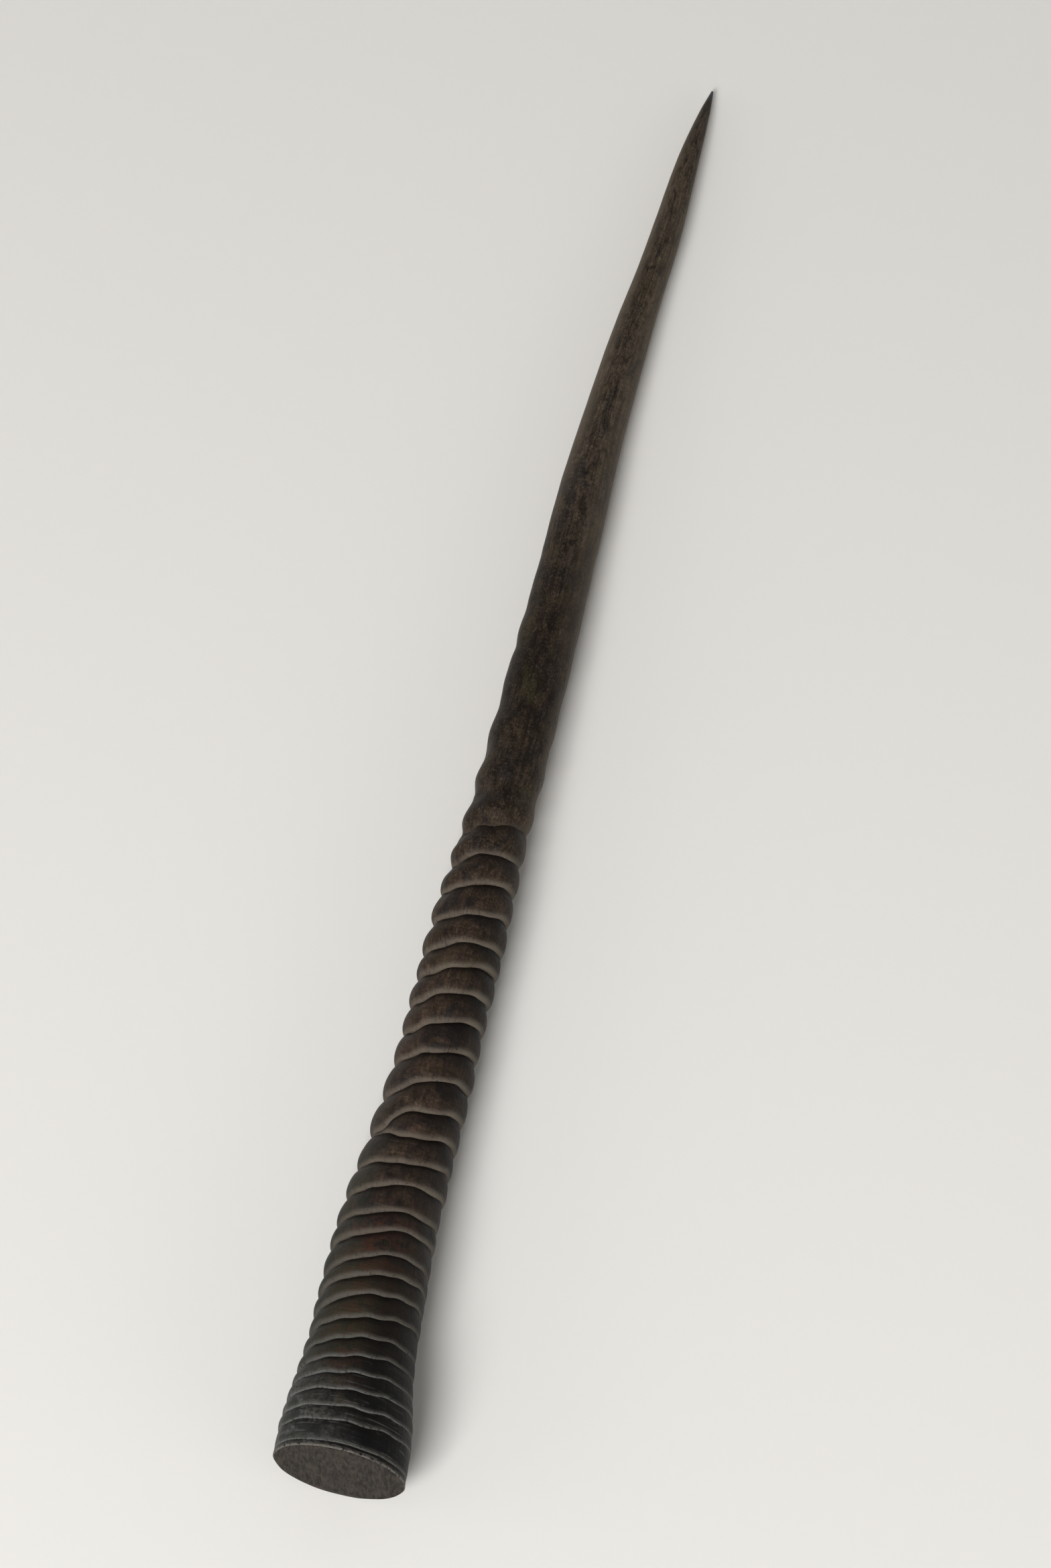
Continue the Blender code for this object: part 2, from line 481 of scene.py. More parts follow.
@dataclass(frozen=True)
class WeatheredHornKeratin:
    """Horn keratin, grown in fibres, weathered outdoors and rubbed by years of handling.

    It gives the eye a dull dark grey-brown with fine streaks along the horn, a dusty band
    above each groove that also holds a painted highlight, painted shade under the growth
    lines, on the flanks of the ringed half and on the outer side of the lower half, and a
    painted sheen on the paler flanks where the horn is smooth. Its fibres are drawn coarser
    than real ones, which are too fine to see.
    """

    name: str = "weathered_horn_keratin"
    ior: float = 1.54
    # Dry, finely cracked horn mirrors far less than its IOR alone would give.
    shine: float = 0.08
    smoothest: float = 0.34
    roughness_gain: float = 0.30
    dust_roughness: float = 0.25
    pattern_range: tuple[float, float] = (0.3, 0.7)
    colours: tuple[tuple[float, str], ...] = (
        (0.00, "#272625"), (0.08, "#2a2621"), (0.20, "#352a23"), (0.38, "#30261e"), (0.45, "#2e261f"),
        (0.51, "#261e18"), (0.60, "#28201a"), (0.68, "#3d342c"), (0.84, "#40372d"), (0.96, "#40372e"),
        (1.00, "#42403b"),
    )
    patterns: tuple[tuple[Skin, SkinPattern], ...] = (
        (Skin.FIBRE, SkinPattern(0.0006, 0.012, 4.0, 0.3, 0.20, 0.72, 1.32)),
        (Skin.STRAND, SkinPattern(0.0026, 0.030, 3.0, 0.8, 0.14, 0.78, 1.24)),
        (Skin.HAIRLINE, SkinPattern(0.016, 0.0010, 3.0, 0.5, 0.30, 0.80, 1.22)),
        (Skin.MOTTLE, SkinPattern(0.006, 0.007, 5.0, 0.8, 0.38, 0.52, 1.62)),
        (Skin.BLOTCH, SkinPattern(0.014, 0.020, 3.0, 1.2, 0.30, 0.66, 1.40)),
        (Skin.GRAIN, SkinPattern(0.0011, 0.0013, 5.0, 0.0, 0.16, 0.58, 1.44)),
    )
    # Dusty bands above the grooves, which also hold a painted highlight on the steep base side of each
    # ring.
    dust_and_highlight_line: Patch = Patch("#62594f", 0.80, (
        Limit(Skin.ABOVE, 0.0048, 0.0002), Limit(Skin.ABOVE, 0.0030, 0.0002),
        Limit(Skin.STRAND, 0.10, 0.46), Limit(Skin.GRAIN, 0.22, 0.46), Limit(Skin.ALONG, 0.020, 0.160),
        Limit(Skin.ALONG, 0.335, 0.285),
    ))
    patches: tuple[Patch, ...] = (
        # Cold, dark blotches.
        Patch("#1b1c20", 0.45, (Limit(Skin.BLOTCH, 0.47, 0.34),)),
        # Olive blotches.
        Patch("#35311f", 0.55, (Limit(Skin.BLOTCH, 0.54, 0.68),)),
        # Rust on the front of the lower rings.
        Patch("#46251c", 0.75, (
            Limit(Skin.ALONG, 0.020, 0.050), Limit(Skin.ALONG, 0.140, 0.085),
            Limit(Skin.FRONT, 0.009, 0.0180), Limit(Skin.MOTTLE, 0.42, 0.60),
        )),
        # Grey-green on the inner side of the ringed half.
        Patch("#2a2c27", 0.60, (Limit(Skin.OUTWARD, 0.000, -0.013), Limit(Skin.ALONG, 0.210, 0.120))),
        # Olive on the front of the first rings.
        Patch("#2d2b1f", 0.55, (
            Limit(Skin.ALONG, 0.030, 0.050), Limit(Skin.ALONG, 0.105, 0.080),
            Limit(Skin.FRONT, 0.008, 0.016),
        )),
        # Painted shade: the darker flanks of the ringed half.
        Patch("#161311", 0.55, (Limit(Skin.FRONT, 0.012, -0.003), Limit(Skin.ALONG, 0.300, 0.240))),
        # Painted shade: near black on the outer side of the base.
        Patch("#0b0b0c", 0.88, (Limit(Skin.ALONG, 0.160, 0.035), Limit(Skin.OUTWARD, -0.006, 0.009))),
        # Painted shade: a dark outer side above it.
        Patch("#15110e", 0.50, (
            Limit(Skin.OUTWARD, 0.001, 0.012), Limit(Skin.ALONG, 0.080, 0.150),
            Limit(Skin.ALONG, 0.300, 0.230),
        )),
        # Painted shade: darker still there, under each growth line.
        Patch("#0c0908", 0.75, (
            Limit(Skin.BELOW, 0.0100, 0.0030), Limit(Skin.OUTWARD, 0.005, 0.016),
            Limit(Skin.ALONG, 0.100, 0.160), Limit(Skin.ALONG, 0.340, 0.290),
        )),
        # Painted shade: the dark upper edge of each ring.
        Patch("#100c0a", 0.85, (Limit(Skin.BELOW, 0.0040, 0.0002), Limit(Skin.ALONG, 0.350, 0.290))),
        # Grey lines above the grooves near the base.
        Patch("#4a4944", 0.80, (
            Limit(Skin.ABOVE, 0.0024, 0.0002), Limit(Skin.GRAIN, 0.24, 0.48),
            Limit(Skin.ALONG, 0.150, 0.070), Limit(Skin.PITCH, 0.0055, 0.0075),
        )),
        # Dark patches, streaks and specks of the smooth half, between lighter streaks.
        Patch("#19130e", 0.60, (Limit(Skin.MOTTLE, 0.48, 0.36), Limit(Skin.ALONG, 0.280, 0.360))),
        Patch("#19130e", 0.45, (Limit(Skin.STRAND, 0.48, 0.34), Limit(Skin.ALONG, 0.280, 0.360))),
        Patch("#5a4f42", 0.30, (Limit(Skin.STRAND, 0.53, 0.68), Limit(Skin.ALONG, 0.400, 0.520))),
        Patch("#19130e", 0.45, (Limit(Skin.GRAIN, 0.46, 0.36), Limit(Skin.ALONG, 0.240, 0.320))),
        # Painted sheen: paler flanks of the smooth half.
        Patch("#625749", 0.70, (
            Limit(Skin.FRONT, 0.014, 0.000), Limit(Skin.MOTTLE, 0.16, 0.74),
            Limit(Skin.ALONG, 0.270, 0.350),
        )),
        # Painted sheen: the inner edge, paler still.
        Patch("#6a5f51", 0.50, (Limit(Skin.OUTWARD, -0.003, -0.017), Limit(Skin.ALONG, 0.470, 0.560))),
        # Painted sheen: the outer side.
        Patch("#6a6054", 0.22, (
            Limit(Skin.OUTWARD, 0.001, 0.015), Limit(Skin.ALONG, 0.380, 0.480),
            Limit(Skin.ALONG, 0.710, 0.650),
        )),
        # Grey scuffs on the inner side of the base.
        Patch("#545352", 0.75, (
            Limit(Skin.ALONG, 0.050, 0.015), Limit(Skin.OUTWARD, 0.002, -0.014),
            Limit(Skin.BLOTCH, 0.44, 0.56), Limit(Skin.GRAIN, 0.36, 0.60),
        )),
        # Grey growth lines at the base.
        Patch("#5c5c5b", 0.85, (
            Limit(Skin.ABOVE, 0.0010, 0.0002), Limit(Skin.ALONG, 0.060, 0.030),
            Limit(Skin.GRAIN, 0.34, 0.52),
        )),
        # Grey hairlines at the base.
        Patch("#4b4b4a", 0.70, (
            Limit(Skin.HAIRLINE, 0.56, 0.64), Limit(Skin.ALONG, 0.060, 0.020),
            Limit(Skin.MOTTLE, 0.40, 0.56),
        )),
        # The worn edge of the cut.
        Patch("#5f5a53", 0.70, (Limit(Skin.ALONG, 0.0020, 0.0003), Limit(Skin.GRAIN, 0.38, 0.54))),
        # Painted highlight: light bands above the grooves on the outer side.
        Patch("#605d54", 0.70, (
            Limit(Skin.ABOVE, 0.0040, 0.0004), Limit(Skin.OUTWARD, 0.008, 0.017),
            Limit(Skin.ALONG, 0.060, 0.140), Limit(Skin.ALONG, 0.335, 0.285),
        )),
        # Light specks.
        Patch("#5a544c", 0.40, (Limit(Skin.GRAIN, 0.56, 0.68), Limit(Skin.ALONG, 0.120, 0.420))),
        # The worn, bluish tip.
        Patch("#585d66", 0.70, (Limit(Skin.ALONG, 0.750, 0.7604),)),
    )

    def make(self) -> bpy.types.Material:
        """Build the material.

        Returns:
            The finish of the whole outer skin.
        """
        material = start_material(self.name, {"IOR": self.ior, "Specular IOR Level": self.shine})
        tree = material.node_tree
        shader = tree.nodes["Principled BSDF"]
        maps = self.maps(tree)
        # The dusty bands above the grooves, with their painted highlight.
        dust_and_highlight = self.dust_and_highlight_line.cover(tree, maps)
        tree.links.new(self.colour(tree, maps, dust_and_highlight), shader.inputs["Base Color"])
        mottled = {0: maps[Skin.MOTTLE], 1: self.roughness_gain, 2: self.smoothest}
        rubbed = add_node(tree, "Math", {"operation": "MULTIPLY_ADD"}, mottled)
        dusty = {0: dust_and_highlight, 1: self.dust_roughness, 2: rubbed}
        rough = add_node(tree, "Math", {"operation": "MULTIPLY_ADD", "use_clamp": True}, dusty)
        tree.links.new(rough, shader.inputs["Roughness"])
        raised = raise_patterns(tree, [(maps[name], pattern) for name, pattern in self.patterns])
        tree.links.new(raised, shader.inputs["Normal"])
        return material

    def maps(self, tree: Tree) -> dict[Skin, Socket]:
        """Read the places from what the mesh keeps on its points, and draw the patterns.

        Args:
            tree: The material's node tree.

        Returns:
            The socket of each map.
        """
        growth, pitch = (
            add_node(tree, "Attribute", {"attribute_name": name}, {}, "Fac")
            for name in ("growth", "pitch")
        )
        sheath = add_node(tree, "Attribute", {"attribute_name": "sheath"}, {}, "Vector")
        phase = add_node(tree, "Math", {"operation": "FRACT"}, {0: growth})
        above = add_node(tree, "Math", {"operation": "MULTIPLY"}, {0: phase, 1: pitch})
        below = add_node(tree, "Math", {"operation": "SUBTRACT"}, {0: pitch, 1: above})
        maps = {Skin.ABOVE: above, Skin.BELOW: below, Skin.PITCH: pitch}
        for number, name in enumerate((Skin.OUTWARD, Skin.ALONG, Skin.FRONT)):
            maps[name] = add_node(tree, "SeparateXYZ", {}, {0: sheath}, number)
        for name, pattern in self.patterns:
            maps[name] = pattern.draw(tree, sheath)
        return maps

    def colour(self, tree: Tree, maps: dict[Skin, Socket], dust_and_highlight: Socket) -> Socket:
        """Lay the colours over one another.

        Args:
            tree: The material's node tree.
            maps: The sockets of all maps.
            dust_and_highlight: The cover of the dusty band above the grooves, and of its painted
                highlight.

        Returns:
            The colour of the skin.
        """
        share = add_node(tree, "Math", {"operation": "DIVIDE"}, {0: maps[Skin.ALONG], 1: HORN_LENGTH})
        skin = add_node(tree, "ValToRGB", {}, {0: share}, stops=self.colours)
        low, high = self.pattern_range
        for name, pattern in self.patterns:
            tones = {"From Min": low, "From Max": high, "To Min": pattern.dark, "To Max": pattern.light}
            tone = add_node(tree, "MapRange", {}, {"Value": maps[name], **tones})
            skin = add_node(tree, "VectorMath", {"operation": "SCALE"}, {0: skin, "Scale": tone})
        # A Mix node's inputs 6 and 7 are its two colours, and its output 2 is their mixture.
        covers = [(patch.cover(tree, maps), patch.colour) for patch in self.patches]
        for cover, colour in covers + [(dust_and_highlight, self.dust_and_highlight_line.colour)]:
            mixed = {0: cover, 6: skin, 7: linear(colour)}
            skin = add_node(tree, "Mix", {"data_type": "RGBA"}, mixed, 2)
        return skin


@dataclass(frozen=True)
class SawnHornFace:
    """Horn keratin, cut across with a fine-toothed saw and left as cut.

    It gives the eye a flat, dull dark grey-brown with faint parallel saw marks.
    """

    name: str = "sawn_horn_face"
    ior: float = 1.54
    shine: float = 0.15
    roughness: float = 0.72
    turn: float = math.radians(78)
    mark_share: float = 0.72
    colours: tuple[tuple[float, str], ...] = ((0.40, "#15120f"), (0.60, "#37302a"))
    saw_marks: SkinPattern = SkinPattern(0.0013, 0.060, 3.0, 0.3, 0.30, 0.75, 1.25)
    mottle: SkinPattern = SkinPattern(0.006, 0.006, 4.0, 0.6, 0.10, 0.75, 1.25)

    def make(self) -> bpy.types.Material:
        """Build the material.

        Returns:
            The finish of the cut.
        """
        surface = {"IOR": self.ior, "Specular IOR Level": self.shine, "Roughness": self.roughness}
        material = start_material(self.name, surface)
        tree = material.node_tree
        shader = tree.nodes["Principled BSDF"]
        place = add_node(tree, "TexCoord", {}, {}, "Object")
        # The marks run along Y in a pattern, so the face is turned until they run upward.
        upward = (self.turn, 0, 0)
        turned = add_node(tree, "Mapping", {}, {"Vector": place, "Rotation": upward})
        marks = self.saw_marks.draw(tree, turned)
        mottle = self.mottle.draw(tree, turned)
        # A Mix node's inputs 2 and 3 are its two values.
        tone = add_node(tree, "Mix", {}, {0: self.mark_share, 2: mottle, 3: marks}, 0)
        colour = add_node(tree, "ValToRGB", {}, {0: tone}, stops=self.colours)
        tree.links.new(colour, shader.inputs["Base Color"])
        raised = raise_patterns(tree, [(marks, self.saw_marks), (mottle, self.mottle)])
        tree.links.new(raised, shader.inputs["Normal"])
        return material


@dataclass
class GemsbokHorn:
    """The horn: one fine skin on the outline of its solid, closed by the sawn face."""

    form: HornForm = HornForm()
    lines: GrowthLines = GrowthLines()
    layout: BakeLayout = BakeLayout()
    keratin: WeatheredHornKeratin = WeatheredHornKeratin()
    sawn: SawnHornFace = SawnHornFace()
    sides: int = 96
    steep_steps: int = 9
    gentle_steps: int = 13
    smooth_steps: int = 190
    tip_crowding: float = 1.35
    point_steps: int = 4
    root_steps: int = 6
    faint_line: float = 0.0028
    faint_depth: float = 0.0002
    rim_bevel: float = 0.0005
    face_rings: int = 10
    sheath_radius: float = 0.019
    lump_size: float = 0.009
    lump_depth: float = 0.00030
    smooth_pitch: float = 0.028
    waver: float = 0.0011
    waver_around: float = 0.009
    waver_along: float = 0.045
    waver_ends: tuple[float, float] = (0.30, 0.50)
    depth_scatter: float = 0.5
    sharp_angle: float = math.radians(50)
    base_tolerance: float = 0.00001

    def angles(self) -> np.ndarray:
        """List the angles of the columns of points around the horn."""
        return math.tau * np.arange(self.sides) / self.sides

    def line(self, index: int) -> np.ndarray:
        """Follow one growth line around the horn, with its fine waver.

        Args:
            index: Which line, from the base.

        Returns:
            Its distance from the base at each column of points.
        """
        along = self.lines.places()[index]
        half_width = float(self.form.half_width(along))
        line = self.lines.line(index, self.angles(), half_width)
        around = half_width / self.waver_around
        upward = along / self.waver_along
        waver = [
            noise.noise(Vector((around * math.sin(turn), upward, around * math.cos(turn))))
            for turn in self.angles()
        ]
        fade = 1 - smooth_step(*self.waver_ends, along)
        return line + self.waver * fade * np.array(waver)

    def row(
        self,
        along: np.ndarray,
        depth: np.ndarray | float,
        growth: np.ndarray | float,
        pitch: np.ndarray | float,
    ) -> HornRow:
        """Make one row of points.

        Args:
            along: Each point's distance from the base.
            depth: How deep it is under the crests' outline.
            growth: The number of the growth line below it, and its share of the way to the next.
            pitch: The distance between those two lines.

        Returns:
            The row, with small lumps worn into it.
        """
        angles = self.angles()
        points = self.form.skin(along, angles, depth)
        wear = [1 + noise.noise(Vector(point) / self.lump_size) for point in points]
        fade = np.clip(self.form.half_width(along) / self.form.half_width(0.0), 0.0, 1.0)
        points = self.form.skin(along, angles, depth + self.lump_depth * np.array(wear) * fade)
        return HornRow(points, growth + np.zeros(self.sides), pitch + np.zeros(self.sides))

    def root_rows(self) -> list[HornRow]:
        """Make the rows from the sawn edge up to the first growth line, with a faint one between.

        Returns:
            The rows, the first growth line's own left out.
        """
        angles = self.angles()
        rim = float(self.form.groove_depths.at(0.0))
        first = self.line(0)
        faint = first * self.faint_line / self.lines.first_line
        rows = [self.row(np.zeros(self.sides), rim + self.rim_bevel, -1.0, self.faint_line)]
        for share in np.linspace(self.rim_bevel / self.faint_line, 1, self.root_steps, endpoint=False):
            depth = rim + self.faint_depth * share * share
            rows.append(self.row(faint * share, depth, share - 1, self.faint_line))
        for phase in self.phases():
            along = faint + (first - faint) * phase
            groove = self.faint_depth + (self.form.groove(first, angles) - self.faint_depth) * phase
            depth = rim + (groove - rim * phase) * (1 - self.form.bulge(phase, 0.0))
            rows.append(self.row(along, depth, phase, first - faint))
        return rows

    def phases(self) -> list[float]:
        """Place the rows in one band, closer together where it curves most.

        Returns:
            Their places, from 0 at its lower line toward 1.
        """
        crest = self.form.crest_phase
        turn = math.pi / 2 / self.steep_steps
        steep = [crest * (1 - math.cos(turn * step)) for step in range(self.steep_steps)]
        turn = math.pi / 2 / self.gentle_steps
        return steep + [crest + (1 - crest) * math.sin(turn * step) for step in range(self.gentle_steps)]

    def crest_drop(self, index: int) -> float:
        """Tell how much lower than its neighbours the front of one band is."""
        return random.Random(self.lines.seed - index).uniform(0, self.form.crest_scatter)

    def band_rows(self, index: int) -> list[HornRow]:
        """Make the rows of one ring or swelling.

        Args:
            index: The number of the growth line below it.

        Returns:
            Its rows, the upper line left out.
        """
        angles = self.angles()
        low, high = self.line(index), self.line(index + 1)
        places = self.lines.places()
        openness = np.minimum((high - low) / (places[index + 1] - places[index]), 1.0)
        upper_side = (1 + np.cos(angles)) / 2
        last = index + 2 == len(places)
        next_drop = 0.0 if last else self.crest_drop(index + 1)
        rows = []
        for phase in self.phases():
            along = low + (high - low) * phase
            outline = self.form.skin(along, angles, 0.0)
            scatter = np.array([noise.noise(Vector(point) / self.waver_around) for point in outline])
            depth = self.form.groove(along, angles) * (1 + self.depth_scatter * scatter)
            depth *= 1 - self.form.bulge(phase, places[index]) * openness
            into_next = smooth_step(self.form.crest_blend, 1.0, phase)
            drop = self.crest_drop(index) * (1 - into_next) + next_drop * into_next
            rows.append(self.row(along, depth + drop * upper_side, index + phase, high - low))
        return rows

    def smooth_rows(self) -> list[HornRow]:
        """Make the rows above the last growth line, where the rings have ended.

        Returns:
            The rows, closer together toward the tip.
        """
        start = self.line(len(self.lines.places()) - 1)
        count = float(len(self.lines.places()) - 1)
        rows = []
        for step in range(self.smooth_steps + 1):
            share = 1 - (1 - step / self.smooth_steps) ** self.tip_crowding
            along = start + (self.form.length - start) * share
            depth = self.form.groove(along, self.angles())
            rows.append(self.row(along, depth, count, self.smooth_pitch))
        return rows

    def point_rows(self) -> list[HornRow]:
        """Make the rows that round the very point.

        Returns:
            The rows, the point itself left out.
        """
        count = float(len(self.lines.places()) - 1)
        rows = []
        for step in range(1, self.point_steps):
            turn = math.pi / 2 * step / self.point_steps
            length = np.full(self.sides, self.form.length)
            depth = float(self.form.half_width(self.form.length)) * (1 - math.cos(turn))
            row = self.row(length, depth, count, self.smooth_pitch)
            row.points[:, 1] += self.form.point_length * math.sin(turn)
            rows.append(row)
        return rows

    def rows(self) -> list[HornRow]:
        """Make all rows of points.

        Returns:
            The rows, from the sawn edge to the tip.
        """
        rows = self.root_rows()
        for index in range(len(self.lines.places()) - 1):
            rows += self.band_rows(index)
        return rows + self.smooth_rows() + self.point_rows()

    def shift(self) -> np.ndarray:
        """Measure how far the solid's base lies from where the rows start.

        Returns:
            The move that brings the rows into the frame.
        """
        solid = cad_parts["horn"].data
        corners = np.array([vertex.co for vertex in solid.vertices])
        base = corners[corners[:, 1] < corners[:, 1].min() + self.base_tolerance]
        middle = (base.min(axis=0) + base.max(axis=0)) / 2
        start = (float(self.form.wander.at(0.0)), 0.0, 0.0)
        middle[2] -= float(self.form.half_width(0.0) * self.form.height_ratios.at(0.0))
        return middle - np.array(start)

    def ends(self) -> tuple[Vector, Vector]:
        """Find the middle of the sawn base and the tip, both in the frame.

        Returns:
            The two points.
        """
        form, shift = self.form, Vector(self.shift())
        ends = []
        for along in (0.0, form.length):
            share = along / form.length
            middle = float(form.half_width(along) * form.height_ratios.at(share))
            ends.append(Vector((float(form.wander.at(share)), along, middle)) + shift)
        return ends[0], ends[1]

    def face_points(self, rim: np.ndarray) -> np.ndarray:
        """Lay the rings of the sawn face inside its edge.

        Args:
            rim: The points of the edge.

        Returns:
            The points of each ring, from the outside in, and last the middle point.
        """
        middle = rim.mean(axis=0)
        rings = [middle + (rim - middle) * (1 - i / self.face_rings) for i in range(1, self.face_rings)]
        return np.vstack(rings + [middle[None]])

    def build(self) -> bpy.types.Object:
        """Build the skin and its sawn face as one mesh.

        Returns:
            The horn's object, without materials.
        """
        rows = self.rows()
        skin = np.vstack([row.points for row in rows])
        tip = skin[-self.sides :].mean(axis=0)
        tip[1] = self.form.length + self.form.point_length
        face = self.face_points(rows[0].points)
        points = np.vstack([skin, tip[None], face]) + self.shift()
        faces, corners = self.faces(rows, len(skin))
        mesh = bpy.data.meshes.new("gemsbok_horn")
        mesh.from_pydata(points.tolist(), [], faces)
        self.add_attributes(mesh, rows, len(face))
        layout = mesh.uv_layers.new(name=self.layout.map_name)
        layout.uv.foreach_set("vector", np.array(corners, dtype=np.float32).ravel())
        mesh.shade_smooth()
        mesh.set_sharp_from_angle(angle=self.sharp_angle)
        horn = bpy.data.objects.new("gemsbok_horn", mesh)
        bpy.context.scene.collection.objects.link(horn)
        return horn

    def faces(
        self, rows: list[HornRow], skin_count: int
    ) -> tuple[list[tuple[int, ...]], list[tuple[float, float]]]:
        """Join the points into faces and lay these out flat.

        Args:
            rows: All rows of the skin.
            skin_count: How many points they hold.

        Returns:
            The faces, and for each of their corners its place in the baked picture.
        """
        heights = [float(row.points[:, 1].mean()) for row in rows]
        split = int(np.searchsorted(heights, self.layout.split))
        heights.append(heights[-1] + self.form.point_length)
        faces, corners = [], []
        for number in range(len(rows)):
            is_lower = number < split
            start, end = (0.0, heights[split]) if is_lower else (heights[split], heights[-1])
            below, above = ((heights[number + step] - start) / (end - start) for step in (0, 1))
            for side in range(self.sides):
                beside = (side + 1) % self.sides
                unrolled = (side + self.sides // 2) % self.sides
                left, right = number * self.sides + side, number * self.sides + beside
                low_left, low_right, high_left, high_right = (
                    self.layout.on_skin(is_lower, (unrolled + step) / self.sides, along)
                    for along in (below, above)
                    for step in (0, 1)
                )
                if number + 1 < len(rows):
                    faces.append((left, left + self.sides, right + self.sides, right))
                    corners += [low_left, high_left, high_right, low_right]
                else:
                    faces.append((left, skin_count, right))
                    corners += [low_left, high_left, low_right]
        self.add_face_disc(faces, corners, skin_count + 1)
        return faces, corners

    def face_point(self, first: int, ring: int, side: int) -> int:
        """Number a point of the sawn face.

        Args:
            first: The number of the face's first inner point.
            ring: Its ring, 0 being the skin's own edge.
            side: Its column.

        Returns:
            The number of the point in the mesh.
        """
        if ring == 0:
            return side % self.sides
        if ring == self.face_rings:
            return first + (self.face_rings - 1) * self.sides
        return first + (ring - 1) * self.sides + side % self.sides

    def add_face_disc(
        self, faces: list[tuple[int, ...]], corners: list[tuple[float, float]], first: int
    ) -> None:
        """Join the points of the sawn face.

        Args:
            faces: The faces so far, which this adds to.
            corners: Their corners' places in the baked picture, which this adds to.
            first: The number of the face's first inner point.
        """
        for ring in range(self.face_rings):
            for side in range(self.sides):
                steps = [(ring, side), (ring, side + 1), (ring + 1, side + 1), (ring + 1, side)]
                if ring + 1 == self.face_rings:
                    steps = steps[:3]
                faces.append(tuple(self.face_point(first, *step) for step in steps))
                corners += [
                    self.layout.on_face(at / self.face_rings, math.tau * column / self.sides)
                    for at, column in steps
                ]

    def add_attributes(self, mesh: bpy.types.Mesh, rows: list[HornRow], face_count: int) -> None:
        """Keep on each point what the finish needs.

        Args:
            mesh: The horn's mesh.
            rows: The rows of its skin, in the order of its points.
            face_count: How many points follow for the sawn face.
        """
        angles = self.angles()
        for name in ("growth", "pitch"):
            values = [getattr(row, name) for row in rows]
            values = np.concatenate(values + [values[-1][-1:], np.zeros(face_count)]).astype(np.float32)
            mesh.attributes.new(name, "FLOAT", "POINT").data.foreach_set("value", values)
        outward, front = self.sheath_radius * np.sin(angles), self.sheath_radius * np.cos(angles)
        sheath = [np.stack([outward, row.points[:, 1], front], axis=-1) for row in rows]
        tip = np.array([[0.0, self.form.length + self.form.point_length, 0.0]])
        values = np.concatenate(sheath + [tip, np.zeros((face_count, 3))]).astype(np.float32)
        mesh.attributes.new("sheath", "FLOAT_VECTOR", "POINT").data.foreach_set("vector", values.ravel())

    def dress(self, horn: bpy.types.Object) -> None:
        """Give the skin its keratin and the sawn face its own finish.

        Args:
            horn: The horn's object.
        """
        horn.data.materials.append(self.keratin.make())
        horn.data.materials.append(self.sawn.make())
        face_start = len(horn.data.polygons) - self.face_rings * self.sides
        for number in range(face_start, len(horn.data.polygons)):
            horn.data.polygons[number].material_index = 1

    def place(self) -> bpy.types.Object:
        """Build and dress the horn and set it in the frame.

        Returns:
            The finished piece.
        """
        horn = self.build()
        self.dress(horn)
        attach(horn, "root")
        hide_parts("horn")
        return horn


@dataclass(frozen=True)
class StudioFloor:
    """A wide, plain, pale floor of matt painted board, which sweeps up into a wall all round."""

    flat_radius: float = 5.0
    flat_rim: float = 0.1
    sweep_radius: float = 1.8
    wall_height: float = 5.0
    sides: int = 96
    sweep_steps: int = 12
    colour: str = "#eceae6"
    roughness: float = 0.9
    shine: float = 0.1

    def profile(self) -> list[tuple[float, float]]:
        """Draw the floor's profile.

        Returns:
            Each ring's distance from the middle, and its height.
        """
        turns = [math.pi / 2 * step / self.sweep_steps for step in range(self.sweep_steps + 1)]
        flat, bend = self.flat_radius, self.sweep_radius
        sweep = [(flat + bend * math.sin(turn), bend * (1 - math.cos(turn))) for turn in turns]
        return [(flat - self.flat_rim, 0.0)] + sweep + [(sweep[-1][0], self.wall_height)]

    def place(self) -> bpy.types.Object:
        """Build the floor under the horn.

        Returns:
            The floor, which isn't part of the object.
        """
        rings = self.profile()
        turns = [math.tau * side / self.sides for side in range(self.sides)]
        points = [
            (reach * math.cos(turn), reach * math.sin(turn), height)
            for reach, height in rings
            for turn in turns
        ]
        faces = [tuple(range(self.sides))]
        for ring in range(len(rings) - 1):
            for side in range(self.sides):
                start, beside = ring * self.sides + side, ring * self.sides + (side + 1) % self.sides
                faces.append((start, start + self.sides, beside + self.sides, beside))
        mesh = bpy.data.meshes.new("studio_floor")
        mesh.from_pydata(points, [], faces)
        mesh.shade_smooth()
        surface = {"Roughness": self.roughness, "Specular IOR Level": self.shine}
        surface["Base Color"] = linear(self.colour)
        mesh.materials.append(start_material("matt_painted_board", surface))
        floor = bpy.data.objects.new("studio_floor", mesh)
        bpy.context.scene.collection.objects.link(floor)
        return floor


@dataclass(frozen=True)
class SoftBox:
    """One large soft light, aimed at a point."""

    name: str
    place_at: tuple[float, float, float]
    aim: tuple[float, float, float]
    size: tuple[float, float]
    power: float

    def place(self) -> bpy.types.Object:
        """Hang the light.

        Returns:
            The light's object.
        """
        lamp = bpy.data.lights.new(self.name, "AREA")
        lamp.shape = "RECTANGLE"
        lamp.size, lamp.size_y = self.size
        lamp.energy = self.power
        light = bpy.data.objects.new(self.name, lamp)
        light.location = self.place_at
        toward = Vector(self.aim) - Vector(self.place_at)
        light.rotation_euler = toward.to_track_quat("-Z", "Y").to_euler()
        bpy.context.scene.collection.objects.link(light)
        return light


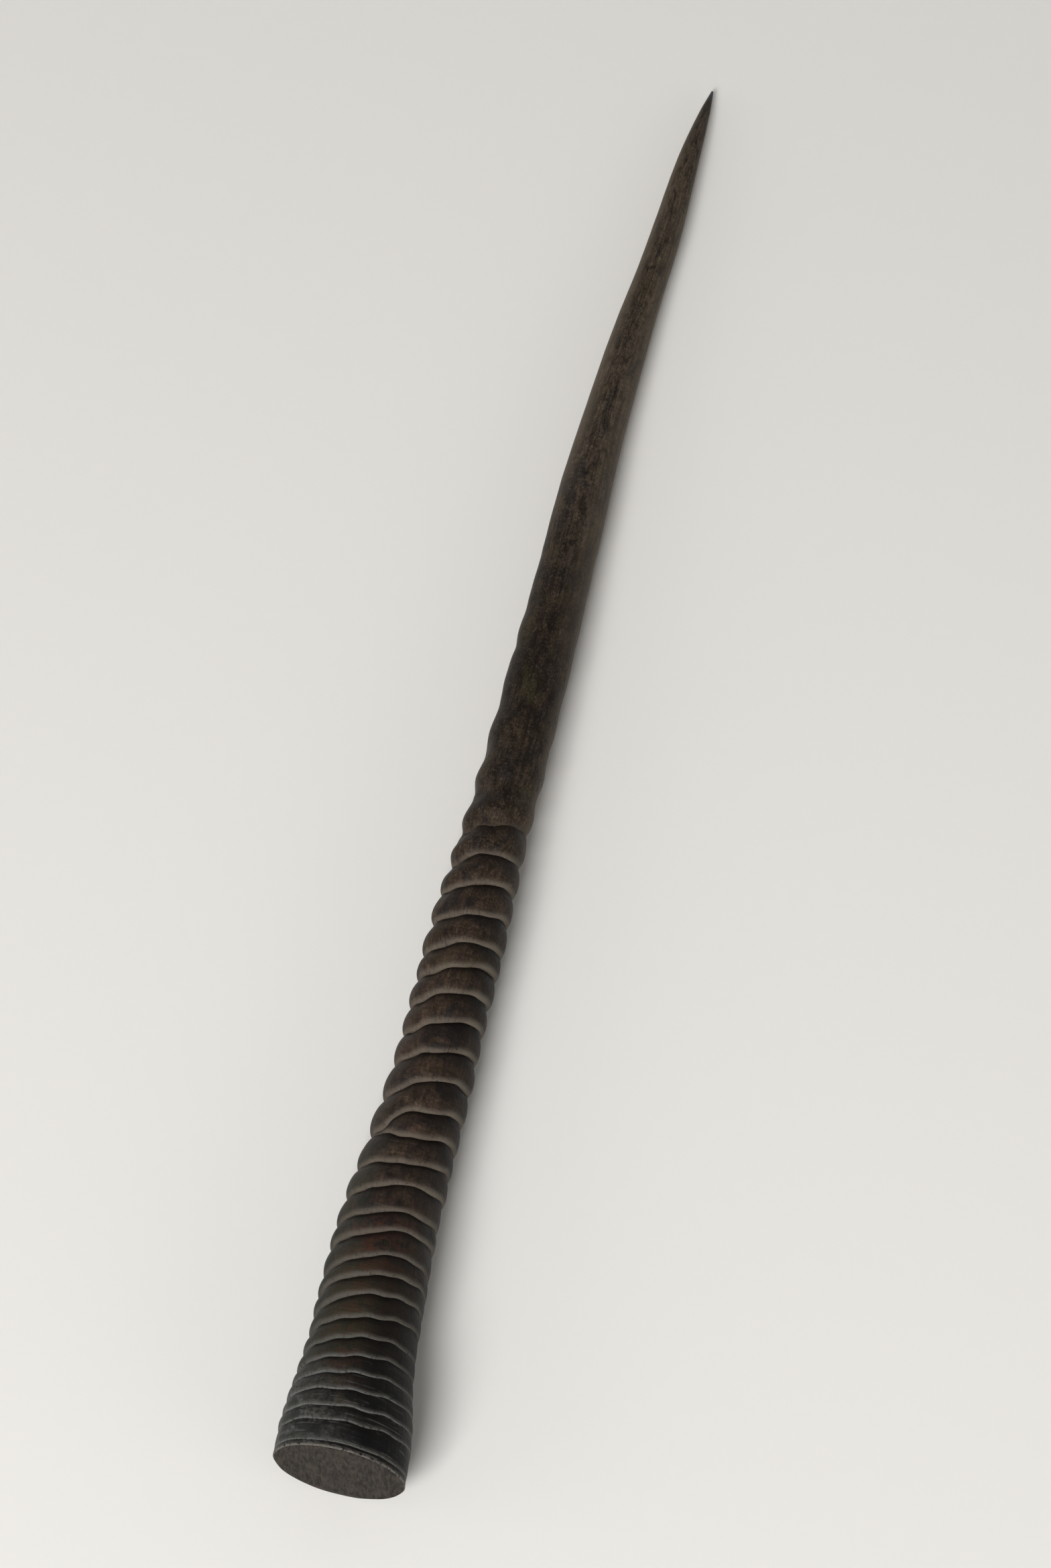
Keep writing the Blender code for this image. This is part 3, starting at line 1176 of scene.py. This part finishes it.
@dataclass(frozen=True)
class SoftStudioLights:
    """A key light from the base and the -X side, a weak strip on each side, and a pale room."""

    room_colour: str = "#ffffff"
    room_strength: float = 0.18
    boxes: tuple[SoftBox, ...] = (
        SoftBox("key", (-0.67, -4.0, 3.35), (0.0, 0.0, 0.0), (2.2, 2.2), 270.0),
        SoftBox("left_strip", (-1.9, -1.0, 0.8), (0.0, 0.1, 0.0), (1.8, 0.7), 4.0),
        SoftBox("right_strip", (1.9, -1.0, 0.8), (0.0, 0.1, 0.0), (1.8, 0.7), 4.0),
    )

    def place(self) -> None:
        """Set up the room and hang the lights."""
        world = bpy.data.worlds.new("studio_room")
        world.use_nodes = True
        background = world.node_tree.nodes["Background"]
        background.inputs["Color"].default_value = linear(self.room_colour)
        background.inputs["Strength"].default_value = self.room_strength
        bpy.context.scene.world = world
        for box in self.boxes:
            box.place()


@dataclass(frozen=True)
class PhotographView:
    """The photograph's view of the horn, with the horn lying down and the camera above.

    The eye stands off from the middle of the sawn base. It aims at a point between the base
    and the tip, and stays upright.
    """

    slope: float = math.radians(68.761)
    turn: float = math.radians(19.239)
    distance: float = 2.191
    aim_share: float = 0.4598
    lens: float = 117.37
    sensor: float = 36.0

    def place(self, base: Vector, tip: Vector) -> bpy.types.Object:
        """Set up the camera.

        Args:
            base: The middle of the sawn base.
            tip: The horn's tip.

        Returns:
            The camera, which the scene then looks through.
        """
        level = math.cos(self.slope)
        toward_base = Vector(
            (-math.sin(self.turn) * level, math.cos(self.turn) * level, -math.sin(self.slope))
        )
        lens = bpy.data.cameras.new("photograph_view")
        lens.sensor_fit = "AUTO"
        lens.sensor_width = self.sensor
        lens.lens = self.lens
        camera = bpy.data.objects.new("photograph_view", lens)
        camera.location = base - toward_base * self.distance
        aim = base.lerp(tip, self.aim_share)
        camera.rotation_euler = (aim - camera.location).to_track_quat("-Z", "Y").to_euler()
        bpy.context.scene.collection.objects.link(camera)
        bpy.context.scene.camera = camera
        return camera


def main() -> None:
    """Build the scene and report each piece."""
    logging.basicConfig(level=logging.INFO, format="%(name)s: %(message)s")
    bpy.context.scene.view_settings.view_transform = "Standard"
    horn = GemsbokHorn()
    piece = horn.place()
    log.info("%s: %d points, %d faces", piece.name, len(piece.data.vertices), len(piece.data.polygons))
    floor = StudioFloor().place()
    log.info("%s: %s", floor.name, tuple(round(side, 2) for side in floor.dimensions))
    SoftStudioLights().place()
    base, tip = horn.ends()
    camera = PhotographView().place(base, tip)
    log.info("%s: %s", camera.name, tuple(round(place, 3) for place in camera.location))


if __name__ == "__main__":
    main()
